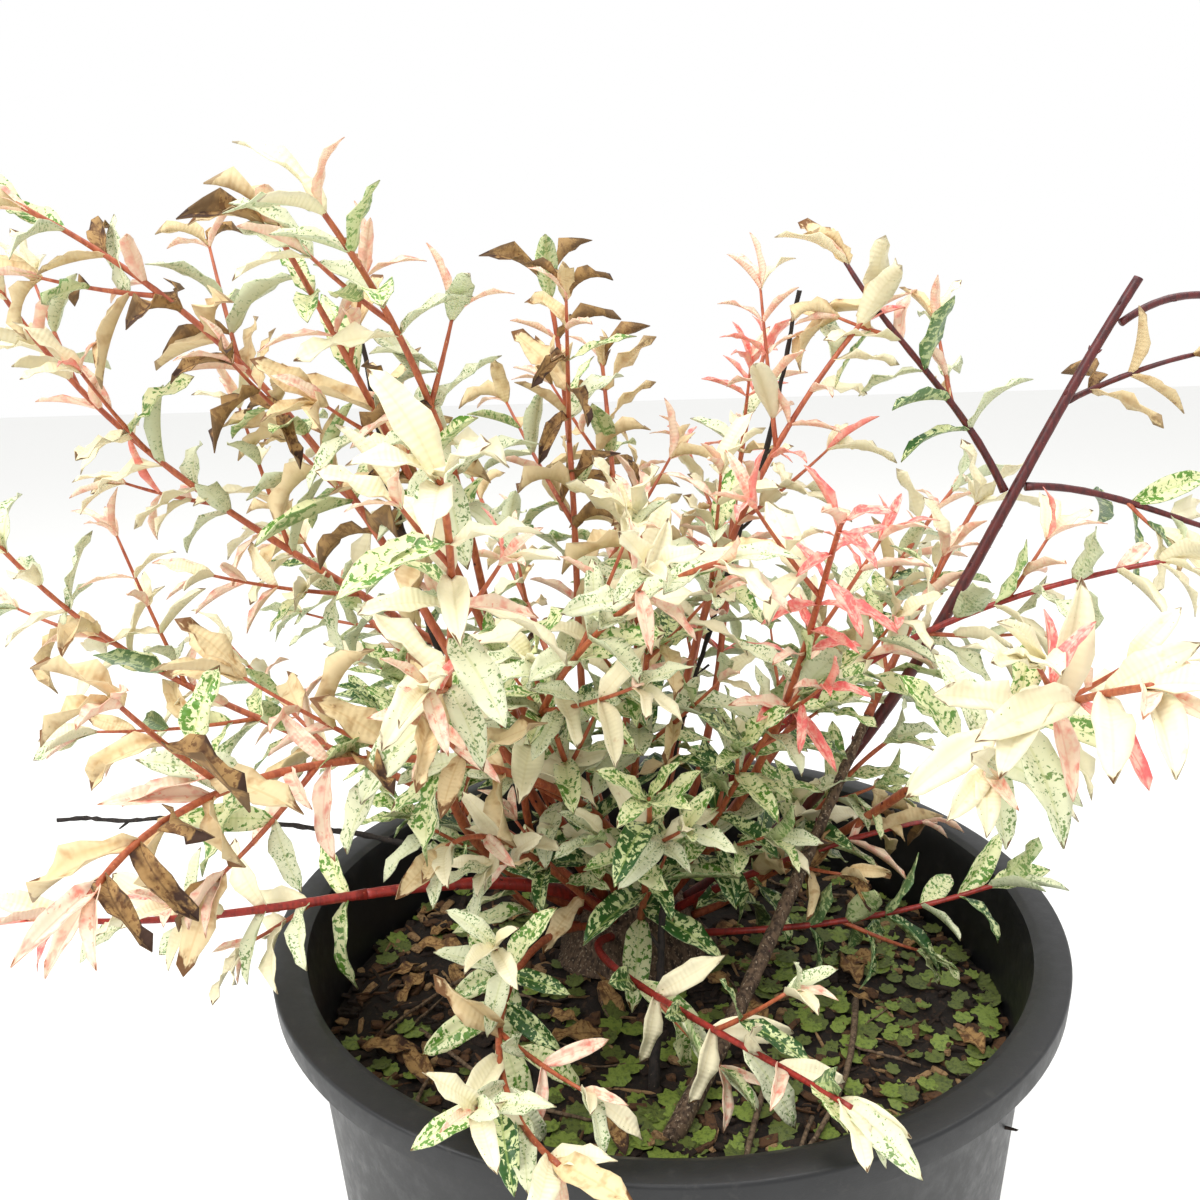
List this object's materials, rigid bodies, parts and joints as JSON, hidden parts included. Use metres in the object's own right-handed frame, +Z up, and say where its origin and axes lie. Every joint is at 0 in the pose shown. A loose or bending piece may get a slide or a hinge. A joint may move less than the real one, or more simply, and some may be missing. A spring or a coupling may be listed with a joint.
{
  "type": "potted dappled willow",
  "caption": "Dappled willow shrub in a black nursery pot: open, many-stemmed crown of cream, green and pink leaves with scorched tips; stands on the pot's flat base.",
  "frame": {"origin": "middle of the pot's flat underside", "axes": "+Z up along the pot's axis; the picture's side faces -Y, its right is +X"},
  "size_m": [0.5041, 0.4291, 0.5102],
  "materials": {
    "pot_plastic": "black moulded polypropylene with a dull sheen and dust",
    "bark_mix": "damp composted bark with chips and low green surface growth",
    "old_bark": "grey-brown streaked bark",
    "young_bark": "smooth coral to maroon bark with small buds",
    "dead_wood": "blackened dry twig",
    "foliage": "green, cream and pink variegated leaf with brown scorch"
  },
  "bodies": {
    "root": {"bough_back_left": "young_bark", "bough_back_middle": "young_bark", "bough_back_right": "young_bark", "bough_far_left": "young_bark", "bough_far_left_high": "young_bark", "bough_front_left": "young_bark", "bough_near_front": "young_bark", "bough_near_right": "young_bark", "bough_right_back": "old_bark", "bough_right_end": "young_bark", "bough_right_middle": "young_bark", "bough_right_tall": "young_bark", "bough_upper_left": "young_bark", "bough_upper_left_front": "young_bark", "dead_twig_left": "dead_wood", "dead_twig_low": "dead_wood", "dead_twig_right": "dead_wood", "foliage_back_far_left": "foliage", "foliage_back_left": "foliage", "foliage_back_low_left": "foliage", "foliage_back_low_right": "foliage", "foliage_back_middle": "foliage", "foliage_back_right": "foliage", "foliage_far_left": "foliage", "foliage_far_left_high": "foliage", "foliage_front_drooping": "foliage", "foliage_front_left": "foliage", "foliage_front_trailing": "foliage", "foliage_heart_back": "foliage", "foliage_heart_front": "foliage", "foliage_heart_front_left": "foliage", "foliage_heart_left": "foliage", "foliage_heart_low_right": "foliage", "foliage_heart_right": "foliage", "foliage_heart_top": "foliage", "foliage_left_middle": "foliage", "foliage_low_left": "foliage", "foliage_low_right": "foliage", "foliage_low_right_red": "foliage", "foliage_middle_front": "foliage", "foliage_near_front": "foliage", "foliage_near_left": "foliage", "foliage_near_right": "foliage", "foliage_right_back": "foliage", "foliage_right_fork": "foliage", "foliage_right_middle": "foliage", "foliage_right_outer": "foliage", "foliage_right_pink": "foliage", "foliage_right_upper": "foliage", "foliage_top_back_left": "foliage", "foliage_top_back_right": "foliage", "foliage_top_middle": "foliage", "foliage_top_right": "foliage", "foliage_upper_left": "foliage", "foliage_upper_left_front": "foliage", "old_stick": "dead_wood", "pot": "pot_plastic", "soil": "bark_mix", "stool": "old_bark"}
  },
  "joints": []
}
